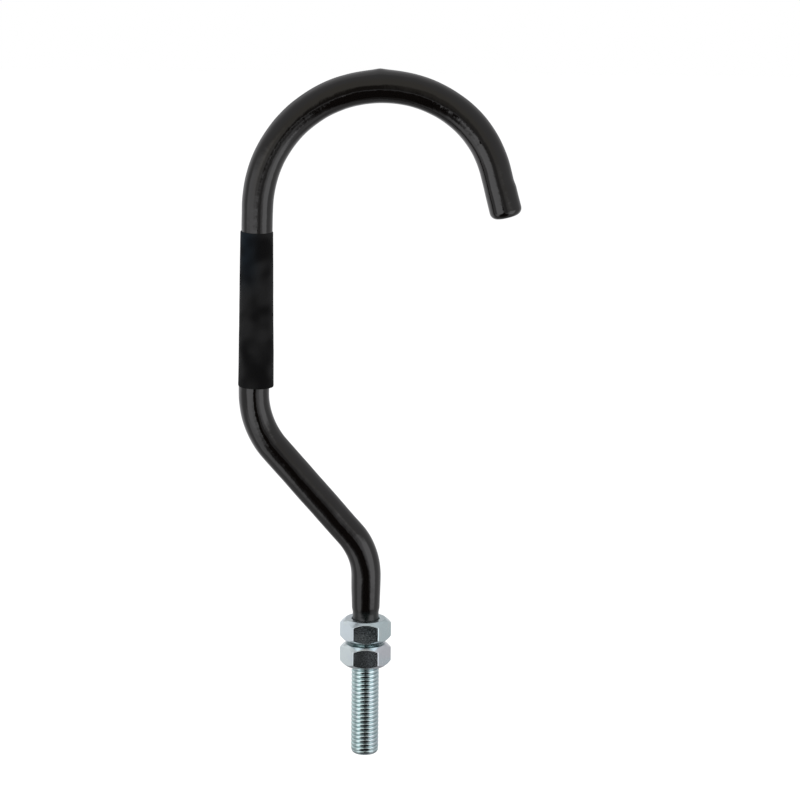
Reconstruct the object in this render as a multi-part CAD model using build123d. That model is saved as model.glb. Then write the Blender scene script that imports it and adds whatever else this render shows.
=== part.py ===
"""Storage hook: a bent steel rod with a vinyl dip coat, a threaded stud and two hex nuts.

Millimetres, +Z up. The stud's axis is Z, and Z = 0 is where its free thread starts, just under
the lower nut. The rod is bent in the XZ plane, with the crook at the top, its mouth facing down.
"""
import os
from math import cos, radians, sin, tan

from build123d import *

# Stud and thread. The free thread is drawn as rings of its true section, without the helix, and
# inside the nuts it is a plain shank a little under its crests.
thread_d = 9.85
thread_pitch = 1.5
thread_depth = 0.92
thread_crest = 0.19
thread_root = 0.25
thread_in_nuts_d = 9.5
thread_free = 32.85
thread_spare = 0.9
stud_end_d = 7.8
stud_end_taper = 1.8

# Hex nuts, run up the stud to the end of its thread
nut_start = 0.1
nut_across_flats = 16.0
nut_across_corners = 18.28
nut_height = 8.1
nut_gap = 1.0
nut_face_d = 14.35
nut_chamfer_angle = 39.5
nut_play = 0.08
nut_mouth = 0.42
nut_turn = 1.0

# Rod and its bends
rod_d = 9.03
neck_length = 15.8
neck_bend_r = 22.9
offset_angle = 41.1
offset_length = 40.7
shank_bend_r = 30.6
shank_lean = 1.1
shank_length = 65.7
crook_r = 43.15
crook_sweep = 119.5
tail_r = 38.1
tail_sweep = 45.2
tail_length = 16.1

# Vinyl dip coat: its thickness on the rod, from the neck to the tip
coat_film = 0.12
coat_film_depth = 0.7
coat_film_height = 2.0
coat_shoulder_height = 2.4
coat_neck = 0.45
coat_neck_bend = 0.74
coat_shank = 0.91
coat_swell_length = 8.0
coat_crook = 1.12
coat_tail = 0.90
coat_bead = 1.16
coat_bead_length = 3.6
coat_cap = 1.3
coat_end_round = 1.9
drip_height = 0.5
drip_base_d = 6.4
drip_top_d = 1.6
drip_root = 0.6
drip_shift = -1.0

# Blank label film, wound round the shank and looser towards its foot
label_length = 55.0
label_rise = 2.0
label_foot_wall = 0.84
label_foot_shift = 0.68
label_top_wall = 0.3
label_top_shift = -0.1

# Worked out from the sizes above
thread_r = thread_d / 2
thread_root_r = thread_r - thread_depth
thread_in_nuts_r = thread_in_nuts_d / 2
thread_flank = (thread_pitch - thread_crest - thread_root) / 2
rod_r = rod_d / 2
upper_nut_start = nut_start + nut_height + nut_gap
nuts_top = upper_nut_start + nut_height
thread_top = nuts_top - thread_spare


def centre_line():
    """The rod's centre line from the nuts' top to the start of its straight tail, as tangent pieces."""
    neck = Line((0, 0, nuts_top), (0, 0, nuts_top + neck_length))
    neck_bend = bend(neck, neck_bend_r, -offset_angle)
    offset = onward(neck_bend, offset_length)
    shank_bend = bend(offset, shank_bend_r, offset_angle + shank_lean)
    shank = onward(shank_bend, shank_length)
    crook = bend(shank, crook_r, crook_sweep)
    tail_bend = bend(crook, tail_r, tail_sweep)
    return {
        "neck": neck,
        "neck_bend": neck_bend,
        "offset": offset,
        "shank_bend": shank_bend,
        "shank": shank,
        "crook": crook,
        "tail_bend": tail_bend,
    }


def onward(before, length):
    """A straight run that carries on from the end of another piece."""
    return Line(before @ 1, before @ 1 + (before % 1) * length)


def bend(before, radius, turn):
    """An arc tangent to the end of another piece. A positive turn goes towards +X from +Z."""
    start, ahead = before @ 1, before % 1
    side = Vector(ahead.Z, 0, -ahead.X) * (1 if turn > 0 else -1)
    middle = start + side * radius

    def point(angle):
        return middle - side * (radius * cos(angle)) + ahead * (radius * sin(angle))

    sweep_angle = radians(abs(turn))
    return ThreePointArc(start, point(sweep_angle / 2), point(sweep_angle))


def disc(piece, at, radius):
    """A round section across a piece of the centre line."""
    return Plane(origin=piece @ at, z_dir=piece % at) * Circle(radius)


def round_run(piece, start_r, end_r):
    """A round bar along a straight run, tapering from one radius to the other."""
    middle = Plane(origin=(piece @ 0 + piece @ 1) / 2, z_dir=piece % 0)
    if abs(start_r - end_r) < 1e-6:
        return middle * Cylinder(start_r, piece.length)
    return middle * Cone(start_r, end_r, piece.length)


def round_bend(piece, radius):
    """A round bar along an arc."""
    return sweep(disc(piece, 0, radius), path=piece)


def turned(profile):
    """A solid of revolution about Z from (radius, height) points."""
    return revolve(Plane.XZ * make_face(Polyline(*profile, close=True)), axis=Axis.Z)


def groove(bottom, top_r):
    """Section points of one thread groove, from a crest up to the given radius."""
    return [
        (thread_r, bottom),
        (thread_root_r, bottom + thread_flank),
        (thread_root_r, bottom + thread_flank + thread_root),
        (top_r, bottom + 2 * thread_flank + thread_root),
    ]


def make_rod(line):
    """Steel rod: the threaded stud, then the blank through its bends to the tip."""
    full_thread = thread_free - stud_end_taper
    free_thread = []
    for turns_down in range(int(full_thread / thread_pitch), 0, -1):
        free_thread += groove(-turns_down * thread_pitch, thread_r)
    stud = turned(
        [
            (0, -thread_free),
            (stud_end_d / 2, -thread_free),
            (thread_r, -full_thread),
            *free_thread,
            *groove(0, thread_in_nuts_r),
            (thread_in_nuts_r, thread_top),
            (rod_r, thread_top + (thread_in_nuts_r - rod_r)),
            (rod_r, nuts_top),
            (0, nuts_top),
        ]
    )
    rod_tail = onward(line["tail_bend"], tail_length - coat_cap)
    bar = stud + round_run(line["neck"], rod_r, rod_r)
    for name in ("neck_bend", "shank_bend", "crook", "tail_bend"):
        bar += round_bend(line[name], rod_r)
    for piece in (line["offset"], line["shank"], rod_tail):
        bar += round_run(piece, rod_r, rod_r)
    return bar


def make_coating(line, rod):
    """Vinyl coat: a thin film at the neck, a shoulder, then a thicker skin that ends round."""
    film_r = rod_r + coat_film
    neck_r = rod_r + coat_neck
    neck_bend_coat_r = rod_r + coat_neck_bend
    film_top = nuts_top + coat_film_height
    shoulder_top = film_top + coat_shoulder_height
    coat = turned(
        [
            (0, nuts_top - coat_film_depth),
            (film_r, nuts_top - coat_film_depth),
            (film_r, film_top),
            (neck_r, shoulder_top),
            (neck_bend_coat_r, nuts_top + neck_length),
            (0, nuts_top + neck_length),
        ]
    )
    coat += round_bend(line["neck_bend"], neck_bend_coat_r)
    coat += round_run(line["offset"], neck_bend_coat_r, rod_r + coat_shank)
    coat += round_bend(line["shank_bend"], rod_r + coat_shank)
    slim = onward(line["shank_bend"], shank_length - coat_swell_length)
    coat += round_run(slim, rod_r + coat_shank, rod_r + coat_shank)
    coat += round_run(onward(slim, coat_swell_length), rod_r + coat_shank, rod_r + coat_crook)
    coat += round_bend(line["crook"], rod_r + coat_crook)
    coat += round_bend(line["tail_bend"], rod_r + coat_crook)
    coat += make_tail_skin(line["tail_bend"])
    coat += make_drip(line["crook"])
    return coat - rod


def make_tail_skin(before):
    """The straight tail's skin, which swells to a bead and ends round."""
    slim = onward(before, tail_length - coat_bead_length)
    bead = onward(slim, coat_bead_length)
    end = round_run(bead, rod_r + coat_tail, rod_r + coat_bead)
    rim = end.edges().filter_by(GeomType.CIRCLE).sort_by(lambda e: (e.center() - (bead @ 1)).length)[0]
    end = fillet(rim, coat_end_round)
    return round_run(slim, rod_r + coat_crook, rod_r + coat_tail) + end


def make_drip(crook):
    """A small frozen drip on the outside of the crook, at its crown."""
    centre = crook.arc_center
    crown_z = centre.Z + crook_r + rod_r + coat_crook
    height = drip_height + drip_root
    place = Pos(centre.X + drip_shift, 0, crown_z - drip_root + height / 2)
    return place * Cone(drip_base_d / 2, drip_top_d / 2, height)


def make_label(shank):
    """Blank label film on the shank: a thin sleeve, fuller at its foot and on its +X side."""
    coat_r = rod_r + coat_shank
    ahead = shank % 0

    def ring(rise, radius, shift=0.0):
        return Plane(origin=shank @ 0 + ahead * rise + Vector(shift, 0, 0), z_dir=ahead) * Circle(radius)

    foot = ring(label_rise, coat_r + label_foot_wall, label_foot_shift)
    top = ring(label_rise + label_length, coat_r + label_top_wall, label_top_shift)
    bore = extrude(ring(label_rise, coat_r), label_length, dir=ahead)
    return loft([foot, top], ruled=True) - bore


def make_nut(bottom):
    """Hex nut with both faces chamfered and the bore's mouths opened a little."""
    corner_r = nut_across_corners / 2
    face_r = nut_face_d / 2
    drop = (corner_r - face_r) * tan(radians(nut_chamfer_angle))
    top = bottom + nut_height
    blank = Pos(0, 0, bottom) * extrude(
        RegularPolygon(nut_across_flats / 2, 6, major_radius=False, rotation=nut_turn), nut_height
    )
    envelope = turned(
        [
            (0, bottom),
            (face_r, bottom),
            (corner_r, bottom + drop),
            (corner_r, top - drop),
            (face_r, top),
            (0, top),
        ]
    )
    bore_r = thread_r + nut_play
    bore = turned(
        [
            (0, bottom),
            (bore_r + nut_mouth, bottom),
            (bore_r, bottom + nut_mouth),
            (bore_r, top - nut_mouth),
            (bore_r + nut_mouth, top),
            (0, top),
        ]
    )
    return (blank & envelope) - bore


def main():
    line = centre_line()
    rod = make_rod(line)
    coating = make_coating(line, rod)
    parts = {
        "hook_rod": rod,
        "vinyl_coating": coating,
        "shank_label": make_label(line["shank"]),
        "lower_nut": make_nut(nut_start),
        "upper_nut": make_nut(upper_nut_start),
    }
    os.makedirs("parts", exist_ok=True)
    for name, part in parts.items():
        part.label = name
        export_step(part, f"parts/{name}.step")


main()
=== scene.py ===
"""Looks of the storage hook: dipped vinyl coat, blank label, zinc-plated rod and hex nuts.

Metres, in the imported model's frame: the stud's axis is Z, its free thread starts at Z = 0, and
the rod is bent in the XZ plane.
"""

from math import cos, pi, radians, sin, tan

import bpy
import numpy as np
from mathutils import Matrix, Vector, noise

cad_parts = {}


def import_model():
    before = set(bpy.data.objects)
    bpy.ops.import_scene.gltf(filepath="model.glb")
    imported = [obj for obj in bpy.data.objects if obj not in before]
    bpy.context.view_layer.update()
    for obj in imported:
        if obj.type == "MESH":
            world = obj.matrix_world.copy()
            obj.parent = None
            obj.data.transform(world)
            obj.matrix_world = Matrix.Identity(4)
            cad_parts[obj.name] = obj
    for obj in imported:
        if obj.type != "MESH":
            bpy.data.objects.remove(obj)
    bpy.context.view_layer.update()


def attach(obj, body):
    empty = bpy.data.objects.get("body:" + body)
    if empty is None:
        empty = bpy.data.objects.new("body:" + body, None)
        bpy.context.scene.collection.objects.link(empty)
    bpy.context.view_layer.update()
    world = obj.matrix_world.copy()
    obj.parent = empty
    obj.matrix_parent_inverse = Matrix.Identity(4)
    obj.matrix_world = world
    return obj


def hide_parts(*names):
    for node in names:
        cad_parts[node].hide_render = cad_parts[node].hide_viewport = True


MM = 0.001

# Mesh density: points round each ring, and rows of points to one turn of thread
COLUMNS = 96
THREAD_ROWS = 20

# Stud and thread
THREAD_R = 4.925 * MM
THREAD_DEPTH = 0.60 * MM
THREAD_DOME = 4.5
THREAD_PITCH = 1.5 * MM
THREAD_FREE = 32.85 * MM
THREAD_SPARE = 0.9 * MM
THREAD_RUN_OUT = 2.2 * MM
STUD_END_ROUND = 1.5 * MM
STUD_END_DROP = 0.12 * MM
STUD_DISH = [(0.80, 0.0), (0.62, 0.10 * MM), (0.42, 0.32 * MM), (0.2, 0.42 * MM)]
STUD_DISH_DEPTH = 0.45 * MM

# Hex nuts
NUT_START = 0.1 * MM
NUT_ACROSS_FLATS = 16.0 * MM
NUT_HEIGHT = 8.1 * MM
NUT_GAP = 1.0 * MM
NUT_FACE_D = 14.35 * MM
NUT_CHAMFER = radians(39.5)
NUT_BORE_R = 5.005 * MM
NUT_MOUTH = 0.14 * MM
NUT_TURN = radians(1.0)
NUT_EDGE_ROUND = 0.16 * MM
NUT_CORNER_ROUND = 0.85 * MM
NUT_WAVINESS = 0.012 * MM

# Rod and its bends
ROD_R = 4.515 * MM
ROD_TIP_CHAMFER = (0.4 * MM, 0.35 * MM)
NECK_LENGTH = 15.8 * MM
NECK_BEND_R = 22.9 * MM
OFFSET_ANGLE = 41.1
OFFSET_LENGTH = 40.7 * MM
SHANK_BEND_R = 30.6 * MM
SHANK_LEAN = 1.1
SHANK_LENGTH = 65.7 * MM
CROOK_R = 43.15 * MM
CROOK_SWEEP = 119.5
TAIL_R = 38.1 * MM
TAIL_SWEEP = 45.2
TAIL_LENGTH = 16.1 * MM

# Vinyl coat
COAT_FILM = 0.12 * MM
COAT_FILM_DEPTH = 0.7 * MM
COAT_FILM_HEIGHT = 2.0 * MM
COAT_POOL = 0.12 * MM
COAT_POOL_HEIGHT = 0.5 * MM
COAT_SHOULDER_HEIGHT = 2.4 * MM
COAT_SHANK = 0.91 * MM
COAT_CAP = 1.3 * MM
COAT_END_ROUND = 2.4 * MM
COAT_END_DOME = 0.25 * MM
BEAD_LENGTH = 12.5 * MM
BEAD_STEP = 3.2 * MM
BEAD_HEIGHT = 0.34 * MM
DRIP_HEIGHT = 0.62 * MM
DRIP_SPREAD = 2.5 * MM
DRIP_X = 3.47 * MM
DRIP_ABOVE = (205.0 * MM, 208.0 * MM)
COAT_BLUR = 1.2 * MM
COAT_SETTLED = (6.0 * MM, 10.0 * MM)
COAT_RIPPLES_START = (2.0 * MM, 9.0 * MM)
COAT_SAG = (0.085 * MM, 12.0 * MM)
COAT_DIMPLES = (0.045 * MM, 5.0 * MM)

# Blank label
LABEL_LENGTH = 55.0 * MM
LABEL_RISE = 2.0 * MM
LABEL_FOOT_WALL = 0.84 * MM
LABEL_FOOT_SHIFT = 0.68 * MM
LABEL_TOP_WALL = 0.3 * MM
LABEL_TOP_SHIFT = -0.1 * MM
LABEL_EDGE_ROUND = 0.12 * MM
LABEL_ROWS = 150

# Camera and stage
CAMERA_PITCH = radians(12.3)
CAMERA_ROLL = radians(0.572)
CAMERA_DISTANCE = 1.2
CAMERA_LENS_MM = 153.5
CAMERA_SENSOR_MM = 36.0
CAMERA_AIM = (11.49 * MM, 0.0, 96.92 * MM)
LAMP_SIZE = 0.9
LAMP_POWER = 2.6
LAMP_PLACE = (0.0, -0.15, 1.15)
FLOOR_DROP = 55.0 * MM
FLOOR_SIZE = 5.0
TENT_RADIUS = 0.32
TENT_HEIGHT = 90.0 * MM

# Worked out from the sizes above
UPPER_NUT_START = NUT_START + NUT_HEIGHT + NUT_GAP
NUTS_TOP = UPPER_NUT_START + NUT_HEIGHT
THREAD_TOP = NUTS_TOP - THREAD_SPARE


class CentreLine:
    """The rod's centre line: straight runs and arcs in the XZ plane, each tangent to the last."""

    def __init__(self, height):
        self.pieces = []
        self.ends = {}
        self.length = 0.0
        self.tip = (0.0, height, 0.0)

    def add(self, name, length, bend_radius=None, towards=1):
        x, z, heading = self.tip
        curvature = towards / bend_radius if bend_radius else 0.0
        self.pieces.append((self.length, x, z, heading, curvature))
        self.length += length
        self.ends[name] = self.length
        point, ahead = self.at(np.array([self.length]))[:2]
        self.tip = (point[0, 0], point[0, 2], heading + curvature * length)

    def bend(self, name, radius, degrees_turned, towards=1):
        self.add(name, radius * radians(degrees_turned), radius, towards)

    def at(self, distance):
        """Points, directions and sideways unit vectors at distances along the line."""
        starts = np.array([piece[0] for piece in self.pieces])
        which = np.clip(np.searchsorted(starts, distance, side="right") - 1, 0, None)
        start, x, z, heading, curvature = np.array(self.pieces)[which].T
        past = distance - start
        turned = heading + curvature * past
        bent = np.abs(curvature) > 0
        safe = np.where(bent, curvature, 1.0)
        dx = np.where(bent, (np.cos(heading) - np.cos(turned)) / safe, np.sin(heading) * past)
        dz = np.where(bent, (np.sin(turned) - np.sin(heading)) / safe, np.cos(heading) * past)
        flat = np.zeros_like(past)
        points = np.stack([x + dx, flat, z + dz], axis=-1)
        ahead = np.stack([np.sin(turned), flat, np.cos(turned)], axis=-1)
        side = np.stack([np.cos(turned), flat, -np.sin(turned)], axis=-1)
        return points, ahead, side

    def rings(self, distance, radius, columns):
        """Rings of points round the line; radius holds one row for each distance."""
        points, ahead, side = self.at(distance)
        angle = around(columns)
        across = side[:, None, :] * np.cos(angle)[None, :, None]
        depth = np.array([0.0, 1.0, 0.0])[None, None, :] * np.sin(angle)[None, :, None]
        return points[:, None, :] + (across + depth) * radius[:, :, None]


def around(columns):
    """Equal angles round a ring."""
    return np.arange(columns) * 2 * pi / columns


def smoothstep(value, low, high):
    share = np.clip((value - low) / (high - low), 0.0, 1.0)
    return share * share * (3 - 2 * share)


def ripples(points, wavelength, seed):
    """Smooth repeatable noise, about -1 to 1, at each point."""
    shift = Vector((seed * 7.3, seed * 3.1, seed * 5.7))
    flat = points.reshape(-1, 3) / wavelength
    values = [noise.noise(Vector(point) + shift) for point in flat]
    return np.array(values).reshape(points.shape[:-1])


def ring_faces(rows, columns, closed=False):
    """Quads between neighbouring rings of points, numbered ring by ring."""
    faces = []
    for row in range(rows if closed else rows - 1):
        above = (row + 1) % rows
        for column in range(columns):
            beside = (column + 1) % columns
            faces.append(
                (
                    row * columns + column,
                    row * columns + beside,
                    above * columns + beside,
                    above * columns + column,
                )
            )
    return faces


def make_piece(name, points, faces, material):
    """A smooth-shaded mesh object from points and faces."""
    mesh = bpy.data.meshes.new(name)
    mesh.from_pydata(np.asarray(points).reshape(-1, 3).tolist(), [], faces)
    mesh.validate()
    mesh.polygons.foreach_set("use_smooth", [True] * len(mesh.polygons))
    mesh.materials.append(material)
    mesh.update()
    piece = bpy.data.objects.new(name, mesh)
    bpy.context.scene.collection.objects.link(piece)
    return piece


def rod_line():
    line = CentreLine(NUTS_TOP)
    line.add("neck", NECK_LENGTH)
    line.bend("neck_bend", NECK_BEND_R, OFFSET_ANGLE, -1)
    line.add("offset", OFFSET_LENGTH)
    line.bend("shank_bend", SHANK_BEND_R, OFFSET_ANGLE + SHANK_LEAN)
    line.add("shank", SHANK_LENGTH)
    line.bend("crook", CROOK_R, CROOK_SWEEP)
    line.bend("tail_bend", TAIL_R, TAIL_SWEEP)
    line.add("tail", TAIL_LENGTH)
    return line


def thread_radius(turns):
    """Radius of the thread against turns along the stud: wide domed crests and narrow grooves."""
    phase = np.abs((turns + 0.5) % 1.0 - 0.5) * 2
    return THREAD_R - THREAD_DEPTH * phase**THREAD_DOME


def stud_radius(height, angle):
    """Radius of the stud's surface, with its rounded end and the thread fading at both ends."""
    turns = (height - THREAD_PITCH * angle / (2 * pi)) / THREAD_PITCH
    cut = thread_radius(turns)
    fade = smoothstep(height, THREAD_TOP - THREAD_RUN_OUT, THREAD_TOP)
    cut = cut + (ROD_R - cut) * fade
    from_end = height + THREAD_FREE
    started = smoothstep(from_end, 0.5 * STUD_END_ROUND, STUD_END_ROUND + THREAD_PITCH)
    cut = cut + (THREAD_R - STUD_END_DROP - cut) * (1 - started)
    rounded = STUD_END_ROUND * (1 - np.sqrt(np.clip(1 - (1 - from_end / STUD_END_ROUND) ** 2, 0, 1)))
    return cut - np.where(from_end < STUD_END_ROUND, rounded, 0.0)


def make_rod(line, material):
    """Threaded stud on a sheared grid that follows the helix, then the plain rod to its tip."""
    columns, per_pitch = COLUMNS, THREAD_ROWS
    angle = around(columns)
    step = THREAD_PITCH / per_pitch
    shear = THREAD_PITCH * angle / (2 * pi)
    count = int(np.ceil((THREAD_FREE + THREAD_TOP + THREAD_PITCH) / step)) + 1
    rows = -THREAD_FREE - THREAD_PITCH + step * np.arange(count)
    points, first, last, base = [], [], [], []
    for column in range(columns):
        heights = rows + shear[column]
        low = int(np.sum(heights <= -THREAD_FREE)) - 1
        high = int(np.argmax(heights >= THREAD_TOP))
        kept = np.clip(heights[low:high + 1], -THREAD_FREE, THREAD_TOP)
        radius = stud_radius(kept, angle[column])
        base.append(sum(len(block) for block in points))
        first.append(low)
        last.append(high)
        points.append(
            np.stack([radius * cos(angle[column]), radius * sin(angle[column]), kept], axis=-1)
        )

    def index(row, column):
        if column == columns:
            row, column = row + per_pitch, 0
        return base[column] + min(max(row, first[column]), last[column]) - first[column]

    faces = []
    for column in range(columns):
        for row in range(-per_pitch, count + per_pitch):
            corners = (
                index(row, column),
                index(row, column + 1),
                index(row + 1, column + 1),
                index(row + 1, column),
            )
            face = [c for place, c in enumerate(corners) if c != corners[place - 1]]
            if len(face) > 2:
                faces.append(face)
    stud = np.concatenate(points)

    bottom = [index(-per_pitch, column) for column in range(columns)]
    top = [index(count + per_pitch, column) for column in range(columns)]
    rings = []
    for share, height in STUD_DISH:
        radius = (THREAD_R - STUD_END_ROUND) * share
        rings.append(
            np.stack(
                [radius * np.cos(angle), radius * np.sin(angle), np.full(columns, height - THREAD_FREE)],
                axis=-1,
            )
        )
    stud, faces = close_end(stud, faces, bottom, rings, (0, 0, STUD_DISH_DEPTH - THREAD_FREE))

    tip = line.length - COAT_CAP
    chamfer_length, chamfer_drop = ROD_TIP_CHAMFER
    distance = np.concatenate([np.linspace(0.0, tip - chamfer_length, 80), [tip]])
    radius = np.full((len(distance), columns), ROD_R)
    radius[-1] -= chamfer_drop
    blank = line.rings(distance, radius, columns)
    start = len(stud)
    everything = np.concatenate([stud, blank.reshape(-1, 3)])
    for column in range(columns):
        beside = (column + 1) % columns
        faces.append((top[column], top[beside], start + beside, start + column))
    faces += [tuple(start + c for c in face) for face in ring_faces(len(distance), columns)]
    end_ring = [start + (len(distance) - 1) * columns + column for column in range(columns)]
    centre = line.at(np.array([tip]))[0][0]
    everything = np.concatenate([everything, centre[None, :]])
    pole = len(everything) - 1
    for column in range(columns):
        faces.append((end_ring[column], end_ring[(column + 1) % columns], pole))
    return make_piece("zinc_rod", everything, faces, material)


def close_end(points, faces, edge, rings, centre):
    """Closes an open edge that faces down with rings that shrink to one centre point."""
    columns = len(edge)
    outer = edge
    for ring in rings:
        start = len(points)
        points = np.concatenate([points, ring])
        inner = [start + column for column in range(columns)]
        for column in range(columns):
            beside = (column + 1) % columns
            faces.append((outer[beside], outer[column], inner[column], inner[beside]))
        outer = inner
    points = np.concatenate([points, np.array([centre])])
    pole = len(points) - 1
    for column in range(columns):
        faces.append((outer[(column + 1) % columns], outer[column], pole))
    return points, faces


def coat_thickness(line, distance):
    """Thickness of the coat along the rod: pool on the nut, film, neck, then fullest at the crown."""
    ends = line.ends
    crook = ends["shank"]
    degree = radians(1) * CROOK_R
    knots = [
        (COAT_FILM_HEIGHT + COAT_SHOULDER_HEIGHT, 0.47),
        (6.5 * MM, 0.55),
        (10 * MM, 0.65),
        (ends["neck"], 0.73),
        ((ends["neck"] + ends["neck_bend"]) / 2, 0.82),
        (ends["neck_bend"], 0.85),
        (ends["offset"], 0.92),
        (ends["shank_bend"], 0.91),
        (crook - 6 * MM, 0.91),
        (crook + 20 * degree, 1.06),
        (crook + 45 * degree, 1.10),
        (crook + 70 * degree, 1.20),
        (crook + 89 * degree, 1.28),
        (crook + 112 * degree, 1.13),
        (ends["tail_bend"] - 12 * MM, 1.01),
        (ends["tail_bend"], 0.92),
        (ends["tail"], 0.92),
    ]
    places, values = zip(*knots)
    smooth = np.interp(distance, places, np.array(values) * MM)
    rise = smoothstep(distance, COAT_FILM_HEIGHT, COAT_FILM_HEIGHT + COAT_SHOULDER_HEIGHT)
    pool = COAT_POOL * np.exp(-np.clip(distance, 0, None) / COAT_POOL_HEIGHT)
    return COAT_FILM + pool + (smooth - COAT_FILM) * rise


def coat_surface(line, distance, columns):
    """Radius of the coat's outer surface, with its ripples, its drip and its bead."""
    angle = around(columns)
    deviations = np.linspace(-3.0, 3.0, 13)
    weight = np.exp(-0.5 * deviations**2)
    blurred = sum(w * coat_thickness(line, distance + d * COAT_BLUR) for w, d in zip(weight, deviations))
    sharp = coat_thickness(line, distance)
    settled = smoothstep(distance, *COAT_SETTLED)
    thickness = sharp + (blurred / weight.sum() - sharp) * settled
    radius = np.repeat((ROD_R + thickness)[:, None], columns, axis=1)
    skin = line.rings(distance, radius, columns)

    label = line.ends["shank_bend"] + LABEL_RISE
    under_label = smoothstep(distance, label - 2 * MM, label + 2 * MM) * smoothstep(
        -distance, -label - LABEL_LENGTH - 2 * MM, -label - LABEL_LENGTH + 2 * MM
    )
    strength = smoothstep(distance, *COAT_RIPPLES_START) * (1 - under_label)
    sag_height, sag_length = COAT_SAG
    dimple_height, dimple_length = COAT_DIMPLES
    sag = sag_height * ripples(skin, sag_length, 1) + dimple_height * ripples(skin, dimple_length, 2)
    radius += sag * strength[:, None]

    away = ((skin[:, :, 0] - DRIP_X) ** 2 + skin[:, :, 1] ** 2) / DRIP_SPREAD**2
    upper = smoothstep(skin[:, :, 2], *DRIP_ABOVE)
    radius += DRIP_HEIGHT * np.exp(-np.sqrt(away + 0.06) * 1.25) * upper

    outer_side = smoothstep(-np.cos(angle), -0.2, 1.0)
    bead = smoothstep(distance, line.length - BEAD_LENGTH, line.length - BEAD_LENGTH + BEAD_STEP)
    radius += BEAD_HEIGHT * bead[:, None] * outer_side[None, :]
    return radius


def make_coat(line, material):
    """The coat as a closed shell: outer skin, rounded end, end cap and bore."""
    columns = COLUMNS
    start = -COAT_FILM_DEPTH
    round_start = line.length - COAT_END_ROUND
    distance = np.concatenate(
        [
            np.arange(start, 7 * MM, 0.25 * MM),
            np.arange(7 * MM, round_start, 0.42 * MM),
            [round_start],
        ]
    )
    outer = coat_surface(line, distance, columns)
    rings = [line.rings(distance, outer, columns)]

    turn = np.linspace(0, pi / 2, 10)[1:]
    rim = outer[-1]
    for angle in turn:
        place = np.array([round_start + COAT_END_ROUND * sin(angle)])
        rings.append(line.rings(place, (rim - COAT_END_ROUND * (1 - cos(angle)))[None, :], columns))
    for share in (0.8, 0.6, 0.4, 0.2, 0.05):
        place = np.array([line.length + COAT_END_DOME * (1 - share**2)])
        rings.append(line.rings(place, ((rim - COAT_END_ROUND) * share)[None, :], columns))

    tip = line.length - COAT_CAP
    for share in (0.05, 0.5, 1.0):
        rings.append(line.rings(np.array([tip]), np.full((1, columns), ROD_R * share), columns))
    back = np.linspace(tip, start, 110)[1:]
    rings.append(line.rings(back, np.full((len(back), columns), ROD_R), columns))
    points = np.concatenate(rings)
    rows = len(points)
    cap_row = len(distance) + len(turn) + 4
    faces = ring_faces(rows, columns, closed=True)
    faces = [f for place, f in enumerate(faces) if place // columns != cap_row]
    points = points.reshape(-1, 3)
    for row, centre_at in ((cap_row, line.length + COAT_END_DOME), (cap_row + 1, tip)):
        centre = line.at(np.array([centre_at]))[0]
        points = np.concatenate([points, centre])
        pole = len(points) - 1
        for column in range(columns):
            one, two = row * columns + column, row * columns + (column + 1) % columns
            faces.append((one, two, pole) if row == cap_row else (two, one, pole))
    return make_piece("vinyl_skin", points, faces, material)


def make_label(line, material):
    """A blank film sleeve on the shank: closed, soft at its ends and a little uneven."""
    columns, rows = COLUMNS, LABEL_ROWS
    coat_r = ROD_R + COAT_SHANK
    foot = line.ends["shank_bend"] + LABEL_RISE
    share = np.linspace(0, 1, rows)
    distance = foot + share * LABEL_LENGTH
    wall = LABEL_FOOT_WALL + (LABEL_TOP_WALL - LABEL_FOOT_WALL) * share
    shift = LABEL_FOOT_SHIFT + (LABEL_TOP_SHIFT - LABEL_FOOT_SHIFT) * share
    radius = np.repeat((coat_r + wall)[:, None], columns, axis=1)
    rings = line.rings(distance, radius, columns)
    waves = 0.07 * ripples(rings, 14 * MM, 5) + 0.03 * ripples(rings, 5 * MM, 6)
    from_end = np.minimum(distance - distance[0], distance[-1] - distance)
    settle = smoothstep(from_end, 0.0, 3 * MM)
    radius += waves * MM * settle[:, None]
    inset = LABEL_EDGE_ROUND * (1 - np.sqrt(np.clip(from_end / LABEL_EDGE_ROUND, 0, 1)))
    radius -= inset[:, None]
    outer = line.rings(distance, radius, columns)
    outer[:, :, 0] += shift[:, None]
    inner = line.rings(distance[::-1], np.full((rows, columns), coat_r), columns)
    points = np.concatenate([outer, inner])
    return make_piece("label_sleeve", points, ring_faces(2 * rows, columns, closed=True), material)


def rounded_outline(corners, rounding):
    """Points round a closed outline whose corners become short curves held by close points."""
    outline = []
    for place, corner in enumerate(corners):
        before = corners[place - 1] - corner
        after = corners[(place + 1) % len(corners)] - corner
        before_length = np.linalg.norm(before, axis=-1, keepdims=True)
        after_length = np.linalg.norm(after, axis=-1, keepdims=True)
        reach = np.minimum(rounding, 0.3 * np.minimum(before_length, after_length))
        before = before / before_length * reach
        after = after / after_length * reach
        outline.append(corner + before * 1.5)
        for share in (0.0, 0.25, 0.5, 0.75, 1.0):
            outline.append(corner + before * (1 - share) ** 2 + after * share**2)
        outline.append(corner + after * 1.5)
    return outline


def nut_angles(per_side=60):
    """Angles round a nut, closest together at its corners."""
    share = (np.arange(per_side) + 0.5) / per_side * 2 - 1
    within = radians(30) * (0.2 * share + 0.8 * np.sin(share * pi / 2))
    sides = [within + NUT_TURN + radians(30 + 60 * side) for side in range(6)]
    return np.tile(within, 6), np.concatenate(sides)


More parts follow.
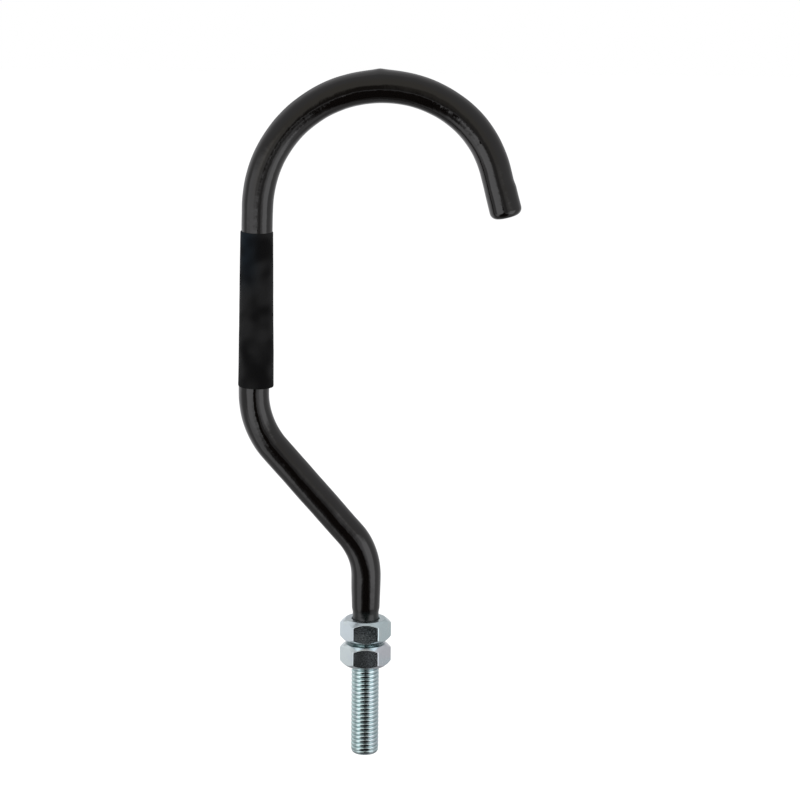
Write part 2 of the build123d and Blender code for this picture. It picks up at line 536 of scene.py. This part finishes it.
def hexagon_radius(within):
    """Distance to the hexagon's outline at angles from a flat's middle, with rounded corners."""
    inner = NUT_ACROSS_FLATS / 2 - NUT_CORNER_ROUND
    corner = inner / cos(radians(30))
    beside = radians(30) - np.abs(within)
    arc = corner * np.cos(beside) + np.sqrt(
        np.clip(NUT_CORNER_ROUND**2 - (corner * np.sin(beside)) ** 2, 0, None)
    )
    flat_reach = np.arctan(inner * tan(radians(30)) / (NUT_ACROSS_FLATS / 2))
    return np.where(np.abs(within) < flat_reach, NUT_ACROSS_FLATS / 2 / np.cos(within), arc)


def make_nut(name, bottom, material, seed):
    """A chamfered hex nut: one rounded section for each angle, out from the bore and back."""
    within, angle = nut_angles()
    outer_r = hexagon_radius(within)
    face_r = NUT_FACE_D / 2
    drop = (outer_r - face_r) * tan(NUT_CHAMFER)
    mouth_r = NUT_BORE_R + NUT_MOUTH
    top = bottom + NUT_HEIGHT

    def corner(radius, height):
        return np.stack(np.broadcast_arrays(radius + 0 * angle, height + 0 * angle), axis=-1)

    corners = [
        corner(mouth_r, top),
        corner(face_r, top),
        corner(outer_r, top - drop),
        corner(outer_r, bottom + drop),
        corner(face_r, bottom),
        corner(mouth_r, bottom),
        corner(NUT_BORE_R, bottom + NUT_MOUTH),
        corner(NUT_BORE_R, top - NUT_MOUTH),
    ]
    section = rounded_outline(corners, NUT_EDGE_ROUND)
    middles = [(section[place - 1] + section[place]) / 2 for place in range(0, len(section), 7)]
    rows = []
    for place, middle in enumerate(middles):
        rows += [middle] + section[7 * place:7 * place + 7]
    rows = np.stack(rows)
    radius, height = rows[:, :, 0], rows[:, :, 1]
    points = np.stack([radius * np.cos(angle), radius * np.sin(angle), height], axis=-1)
    outside = smoothstep(radius, mouth_r + 0.2 * MM, mouth_r + 1.2 * MM)
    waves = NUT_WAVINESS * ripples(points, 3.0 * MM, seed) * outside
    points[:, :, 0] += waves * np.cos(angle)
    points[:, :, 1] += waves * np.sin(angle)
    faces = [face[::-1] for face in ring_faces(len(rows), len(angle), closed=True)]
    return make_piece(name, points, faces, material)


class Shader:
    """Short calls that add nodes to a node tree and link them."""

    def __init__(self, tree):
        self.tree = tree
        tree.nodes.clear()

    def add(self, kind, inputs=None, **settings):
        node = self.tree.nodes.new(kind)
        for name, value in settings.items():
            setattr(node, name, value)
        for name, value in (inputs or {}).items():
            self.put(node.inputs[name], value)
        return node

    def put(self, socket, value):
        if isinstance(value, bpy.types.NodeSocket):
            self.tree.links.new(value, socket)
        else:
            socket.default_value = value

    def math(self, operation, first, second=0.0, clamp=False):
        node = self.add("ShaderNodeMath", {0: first, 1: second}, operation=operation, use_clamp=clamp)
        return node.outputs[0]

    def span(self, value, low, high, start=0.0, end=1.0, smooth=True):
        """Runs from start to end as the value goes from low to high."""
        node = self.add(
            "ShaderNodeMapRange",
            {"Value": value, "From Min": low, "From Max": high, "To Min": start, "To Max": end},
            interpolation_type="SMOOTHSTEP" if smooth else "LINEAR",
            clamp=True,
        )
        return node.outputs["Result"]

    def mix(self, share, first, second):
        """Blends two numbers."""
        node = self.add("ShaderNodeMix", data_type="FLOAT")
        self.put(node.inputs["Factor"], share)
        self.put(node.inputs[2], first)
        self.put(node.inputs[3], second)
        return node.outputs[0]

    def tint(self, share, first, second):
        """Blends two colours."""
        node = self.add("ShaderNodeMix", data_type="RGBA")
        self.put(node.inputs["Factor"], share)
        self.put(node.inputs[6], first)
        self.put(node.inputs[7], second)
        return node.outputs[2]

    def noise(self, place, wavelength, detail=2.0, roughness=0.5, stretch=(1, 1, 1)):
        scaled = self.add(
            "ShaderNodeMapping", {"Vector": place, "Scale": tuple(s / wavelength for s in stretch)}
        )
        node = self.add(
            "ShaderNodeTexNoise",
            {
                "Vector": scaled.outputs[0],
                "Scale": 1.0,
                "Detail": detail,
                "Roughness": roughness,
            },
        )
        return node.outputs[0]

    def bump(self, height, depth, normal=None):
        inputs = {"Height": height, "Strength": 1.0, "Distance": depth}
        if normal is not None:
            inputs["Normal"] = normal
        return self.add("ShaderNodeBump", inputs).outputs[0]


def new_material(name):
    material = bpy.data.materials.new(name)
    material.use_nodes = True
    shader = Shader(material.node_tree)
    place = shader.add("ShaderNodeTexCoord").outputs["Object"]
    return material, shader, place


def finish_material(shader, constants, linked):
    """Adds the surface shader: plain numbers on its sockets, and the linked inputs."""
    surface = shader.add("ShaderNodeBsdfPrincipled", {**constants, **linked})
    output = shader.add("ShaderNodeOutputMaterial")
    shader.tree.links.new(surface.outputs[0], output.inputs["Surface"])


def vinyl_material():
    """Black dipped vinyl: deep gloss with orange peel, duller and greener where it is thin."""
    material, shader, place = new_material("black_vinyl_coat")
    height = shader.add("ShaderNodeSeparateXYZ", {"Vector": place}).outputs[2]
    film = shader.span(height, NUTS_TOP + 4.2 * MM, NUTS_TOP + 2.2 * MM)
    clouds = shader.noise(place, 6 * MM, 3.0)
    peel = shader.noise(place, 2.6 * MM, 2.0)
    grain = shader.noise(place, 0.25 * MM, 2.0)
    deep = shader.tint(clouds, (0.0026, 0.0018, 0.0015, 1), (0.0036, 0.0027, 0.0023, 1))
    thin = shader.tint(clouds, (0.0030, 0.0042, 0.0040, 1), (0.0060, 0.0085, 0.0080, 1))
    colour = shader.tint(film, deep, thin)
    gloss = shader.span(clouds, 0.3, 0.7, 0.04, 0.08)
    roughness = shader.mix(film, gloss, 0.26)
    normal = shader.bump(peel, 0.07 * MM)
    normal = shader.bump(grain, 0.0010 * MM, normal)
    finish_material(
        shader,
        {"IOR": 1.5, "Metallic": 0.0},
        {"Base Color": colour, "Roughness": roughness, "Normal": normal},
    )
    return material


def label_material():
    """Matte black film with soft cloudy patches and a blue cast near its top."""
    material, shader, place = new_material("black_label_film")
    axes = shader.add("ShaderNodeSeparateXYZ", {"Vector": place})
    height = axes.outputs[2]
    clouds = shader.noise(place, 9 * MM, 1.0)
    patches = shader.span(clouds, 0.36, 0.64)
    fibre = shader.noise(place, 0.35 * MM, 3.0)
    blue_zone = shader.span(height, 132 * MM, 148 * MM)
    left_side = shader.span(axes.outputs[0], -36 * MM, -43 * MM)
    blue = shader.math("MULTIPLY", blue_zone, left_side)
    dark = shader.tint(blue, (0.0026, 0.0026, 0.0028, 1), (0.0026, 0.0040, 0.0060, 1))
    light = shader.tint(blue, (0.0135, 0.0135, 0.0139, 1), (0.0070, 0.0120, 0.0175, 1))
    colour = shader.tint(patches, dark, light)
    roughness = shader.span(clouds, 0.3, 0.7, 0.80, 0.66)
    normal = shader.bump(fibre, 0.004 * MM)
    finish_material(
        shader,
        {"IOR": 1.45, "Metallic": 0.0, "Specular IOR Level": 0.1},
        {"Base Color": colour, "Roughness": roughness, "Normal": normal},
    )
    return material


# Casts of the zinc plate
BLUE = (0.61, 0.68, 0.72, 1)
GREEN_GREY = (0.57, 0.67, 0.69, 1)
GREEN = (0.53, 0.66, 0.66, 1)
TEAL = (0.55, 0.66, 0.68, 1)
PALE = (0.63, 0.70, 0.71, 1)
MAUVE = (0.64, 0.66, 0.70, 1)
ZINC_PIT = (0.40, 0.43, 0.45, 1)
# Painted shade: a dark teal laid on the zinc in the gap between the nuts
PAINTED_GAP_SHADE = (0.18, 0.27, 0.27, 1)


def zinc_material(name, tints, roughness_low, roughness_high):
    """Bright zinc plate: a cast on its left and another on its right, specks, and painted shade in the
    nuts' gap.
    """
    material, shader, place = new_material(name)
    across, _, height = shader.add("ShaderNodeSeparateXYZ", {"Vector": place}).outputs
    clouds = shader.noise(place, 6 * MM, 2.0)
    specks = shader.noise(place, 0.45 * MM, 3.0, 0.6)
    streaks = shader.noise(place, 0.28 * MM, 2.0, 0.55, (1, 1, 0.2))
    left, right, cloudy = tints
    colour = shader.tint(shader.span(across, -3 * MM, 3 * MM), left, right)
    colour = shader.tint(shader.span(clouds, 0.5, 0.7), colour, cloudy)
    pits = shader.span(specks, 0.62, 0.74)
    colour = shader.tint(shader.math("MULTIPLY", pits, 0.25), colour, ZINC_PIT)
    # Painted shade: the 1 mm gap between the nuts is drawn dark teal on the stud and on the upper nut's
    # underside, where shade falls; the lower nut stays below this band
    gap_foot = shader.span(height, UPPER_NUT_START - 0.9 * MM, UPPER_NUT_START - 0.8 * MM)
    gap_top = shader.span(height, UPPER_NUT_START + 0.08 * MM, UPPER_NUT_START + 0.02 * MM)
    painted_gap_shade = shader.math("MULTIPLY", gap_foot, gap_top)
    colour = shader.tint(painted_gap_shade, colour, PAINTED_GAP_SHADE)
    rough = shader.span(clouds, 0.3, 0.7, roughness_low, roughness_high)
    rough = shader.math("ADD", rough, shader.math("MULTIPLY", pits, 0.10))
    normal = shader.bump(streaks, 0.0015 * MM)
    normal = shader.bump(specks, 0.006 * MM, normal)
    finish_material(
        shader,
        {"Metallic": 1.0, "IOR": 1.5},
        {"Base Color": colour, "Roughness": rough, "Normal": normal},
    )
    return material


def floor_material():
    """Pale floor that keeps a soft shadow; gloss on the object sees past it to the studio."""
    material = bpy.data.materials.new("pale_floor")
    material.use_nodes = True
    shader = Shader(material.node_tree)
    rays = shader.add("ShaderNodeLightPath").outputs
    diffuse = shader.add("ShaderNodeBsdfDiffuse", {"Color": (0.9, 0.9, 0.9, 1)}).outputs[0]
    glow = shader.add(
        "ShaderNodeEmission",
        {"Color": (1, 1, 1, 1), "Strength": shader.math("MULTIPLY", rays["Is Camera Ray"], 0.32)},
    ).outputs[0]
    lit = shader.add("ShaderNodeAddShader", {0: diffuse, 1: glow}).outputs[0]
    clear = shader.add("ShaderNodeBsdfTransparent").outputs[0]
    both = shader.add("ShaderNodeMixShader", {0: rays["Is Glossy Ray"], 1: lit, 2: clear}).outputs[0]
    shader.add("ShaderNodeOutputMaterial", {"Surface": both})
    return material


def make_world():
    """White to the camera, and a plain even light from all round to matte surfaces."""
    world = bpy.data.worlds.new("studio_light")
    bpy.context.scene.world = world
    world.use_nodes = True
    shader = Shader(world.node_tree)
    seen = shader.add("ShaderNodeLightPath").outputs["Is Camera Ray"]
    background = shader.add(
        "ShaderNodeBackground", {"Color": (1, 1, 1, 1), "Strength": shader.mix(seen, 0.8, 1.0)}
    ).outputs[0]
    shader.add("ShaderNodeOutputWorld", {"Surface": background})


# Panels of the light tent: level, then side angles (0 in front, + right) and heights, in degrees
TENT_PANELS = [
    ("left wall", 0.53, -104, -34, -60, 30, 12),
    ("right wall", 0.66, 44, 93, -60, 30, 12),
    ("left softbox top", 1.37, -81, -32, 0, 26, 8),
    ("left softbox foot", 1.25, -73, -35, -48, -19, 7),
    ("left softbox", 1.82, -57, 1.5, -24, 4, 6),
    ("right reflector", 1.13, 8.5, 37, -31, 0.5, 6),
    ("right softbox", 1.9, 35.5, 74, -32, 10.5, 7),
    ("camera stand", 0.31, 3.5, 21, -10, 40, 6),
    ("camera", 0.08, -13, 6.5, 5.5, 37, 6),
    ("low gap", 0.08, -35, 35, -64, -29, 6),
]
TENT_CEILING = 0.62
TENT_FLOOR = 0.34
TENT_BACK_LEFT = 1.06
TENT_BACK_RIGHT = 0.58
TENT_BACK_TOP = 0.46
FLAG_TOP = 5.0
FLAG_BOTTOM = -66.0
FLAG_SPREAD = 0.65
FLAG_SHADE = 11.0
FLAG_SHADE_LEVEL = 0.13
FLAG_LEVEL = 0.018


def tent_material():
    """Glow of the light tent by direction: its panels, then a black flag that widens downward."""
    material = bpy.data.materials.new("light_tent")
    material.use_nodes = True
    material.cycles.emission_sampling = "NONE"
    shader = Shader(material.node_tree)
    place = shader.add("ShaderNodeTexCoord").outputs["Object"]
    x, y, z = shader.add("ShaderNodeSeparateXYZ", {"Vector": place}).outputs
    degree = 180 / pi
    side = shader.math("MULTIPLY", shader.math("ARCTAN2", x, shader.math("MULTIPLY", y, -1.0)), degree)
    rise = shader.math("MULTIPLY", shader.math("ARCSINE", shader.math("DIVIDE", z, TENT_RADIUS)), degree)

    def above(value, low, soft):
        return shader.span(shader.math("SUBTRACT", value, low), -soft, soft)

    def band(value, low, high, soft):
        """One between two edges, with soft edges, and zero outside."""
        below_high = shader.span(shader.math("SUBTRACT", high, value), -soft, soft)
        return shader.math("MULTIPLY", above(value, low, soft), below_high)

    def lay(over, level, *masks):
        """Lays a level over the tent where every mask is one."""
        share = masks[0]
        for mask in masks[1:]:
            share = shader.math("MULTIPLY", share, mask)
        return shader.mix(share, over, level)

    tent = shader.span(x, -TENT_RADIUS, TENT_RADIUS, TENT_BACK_LEFT, TENT_BACK_RIGHT, smooth=False)
    tent = lay(tent, TENT_CEILING, above(rise, 11.0, 18.0), band(side, -110.0, 110.0, 30.0))
    behind = shader.math("SUBTRACT", 1.0, band(side, -140.0, 140.0, 12.0))
    tent = lay(tent, TENT_BACK_TOP, behind, band(rise, 2.0, 45.0, 6.0))
    tent = lay(tent, TENT_FLOOR, shader.math("SUBTRACT", 1.0, above(rise, -37.0, 14.0)))
    for _, level, left, right, bottom, top, soft in TENT_PANELS:
        tent = lay(tent, level, band(side, left, right, soft), band(rise, bottom, top, soft))
    depth = shader.math("SUBTRACT", FLAG_TOP, rise)
    right_edge = shader.math("MULTIPLY", depth, FLAG_SPREAD)
    left_edge = shader.math("MULTIPLY", right_edge, -1.0)
    shade = band(
        side,
        shader.math("SUBTRACT", left_edge, FLAG_SHADE),
        shader.math("ADD", right_edge, FLAG_SHADE),
        8.0,
    )
    tent = lay(tent, FLAG_SHADE_LEVEL, shade, above(depth, 21.0, 10.0))
    flag = band(side, left_edge, right_edge, 2.5)
    tent = lay(tent, FLAG_LEVEL, flag, above(depth, 0.0, 4.0), above(rise, FLAG_BOTTOM, 4.0))
    warm = shader.math("MULTIPLY", band(rise, 15.0, 70.0, 15.0), band(side, -45.0, 45.0, 20.0))
    colour = shader.tint(warm, (1.0, 1.0, 1.02, 1), (1.05, 1.0, 0.90, 1))
    glow = shader.add("ShaderNodeEmission", {"Color": colour, "Strength": tent}).outputs[0]
    shader.add("ShaderNodeOutputMaterial", {"Surface": glow})
    return material


def make_tent():
    """A light tent round the hook that only gloss on its surfaces can see."""
    rise = np.linspace(-pi / 2, pi / 2, 49)[1:-1]
    turn = around(COLUMNS)
    flat = np.cos(rise)[:, None]
    height = np.repeat(np.sin(rise)[:, None], COLUMNS, axis=1)
    rings = np.stack([flat * np.cos(turn), flat * np.sin(turn), height], axis=-1)
    points = np.concatenate([rings.reshape(-1, 3), [[0, 0, -1], [0, 0, 1]]]) * TENT_RADIUS
    faces = ring_faces(len(rise), COLUMNS)
    first, last = len(points) - 2, (len(rise) - 1) * COLUMNS
    for column in range(COLUMNS):
        beside = (column + 1) % COLUMNS
        faces.append((beside, column, first))
        faces.append((last + column, last + beside, first + 1))
    tent = make_piece("light_tent", points, faces, tent_material())
    tent.location = (0.0, 0.0, TENT_HEIGHT)
    tent.visible_camera = False
    tent.visible_diffuse = False
    tent.visible_transmission = False
    tent.visible_shadow = False


def make_stage():
    """Pale floor below the stud and one wide soft lamp overhead."""
    level = -THREAD_FREE - FLOOR_DROP
    half = FLOOR_SIZE / 2
    corners = [(-half, -half, level), (half, -half, level), (half, half, level), (-half, half, level)]
    floor = make_piece("floor", corners, [(0, 1, 2, 3)], floor_material())
    make_tent()
    lamp = bpy.data.lights.new("overhead_softbox", "AREA")
    lamp.shape = "SQUARE"
    lamp.size = LAMP_SIZE
    lamp.energy = LAMP_POWER
    lamp_object = bpy.data.objects.new("overhead_softbox", lamp)
    lamp_object.location = LAMP_PLACE
    bpy.context.scene.collection.objects.link(lamp_object)


def make_camera():
    data = bpy.data.cameras.new("camera")
    data.sensor_fit = "HORIZONTAL"
    data.sensor_width = CAMERA_SENSOR_MM
    data.lens = CAMERA_LENS_MM
    data.clip_start = 0.01
    data.clip_end = 50.0
    back = Vector((0.0, -cos(CAMERA_PITCH), sin(CAMERA_PITCH)))
    up = Vector((0.0, sin(CAMERA_PITCH), cos(CAMERA_PITCH)))
    right = Vector((1.0, 0.0, 0.0))
    turn = Matrix((right, up, back)).transposed().to_4x4()
    place = Vector(CAMERA_AIM) + back * CAMERA_DISTANCE
    camera = bpy.data.objects.new("camera", data)
    camera.matrix_world = Matrix.Translation(place) @ turn @ Matrix.Rotation(CAMERA_ROLL, 4, "Z")
    bpy.context.scene.collection.objects.link(camera)
    bpy.context.scene.camera = camera


def place_piece(piece, body, node):
    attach(piece, body)
    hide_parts(node)


def main():
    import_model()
    bpy.context.scene.view_settings.view_transform = "Standard"
    make_camera()
    make_world()
    make_stage()

    line = rod_line()
    rod_zinc = zinc_material("zinc_thread", (GREEN, TEAL, BLUE), 0.12, 0.17)
    upper_zinc = zinc_material("zinc_upper_nut", (BLUE, GREEN_GREY, PALE), 0.20, 0.27)
    lower_zinc = zinc_material("zinc_lower_nut", (PALE, MAUVE, BLUE), 0.20, 0.27)
    place_piece(make_rod(line, rod_zinc), "hook", "hook_rod")
    place_piece(make_coat(line, vinyl_material()), "hook", "vinyl_coating")
    place_piece(make_label(line, label_material()), "hook", "shank_label")
    upper = make_nut("upper_hex_nut", UPPER_NUT_START, upper_zinc, 11)
    lower = make_nut("lower_hex_nut", NUT_START, lower_zinc, 12)
    place_piece(upper, "hook", "upper_nut")
    place_piece(lower, "lower_nut", "lower_nut")


main()
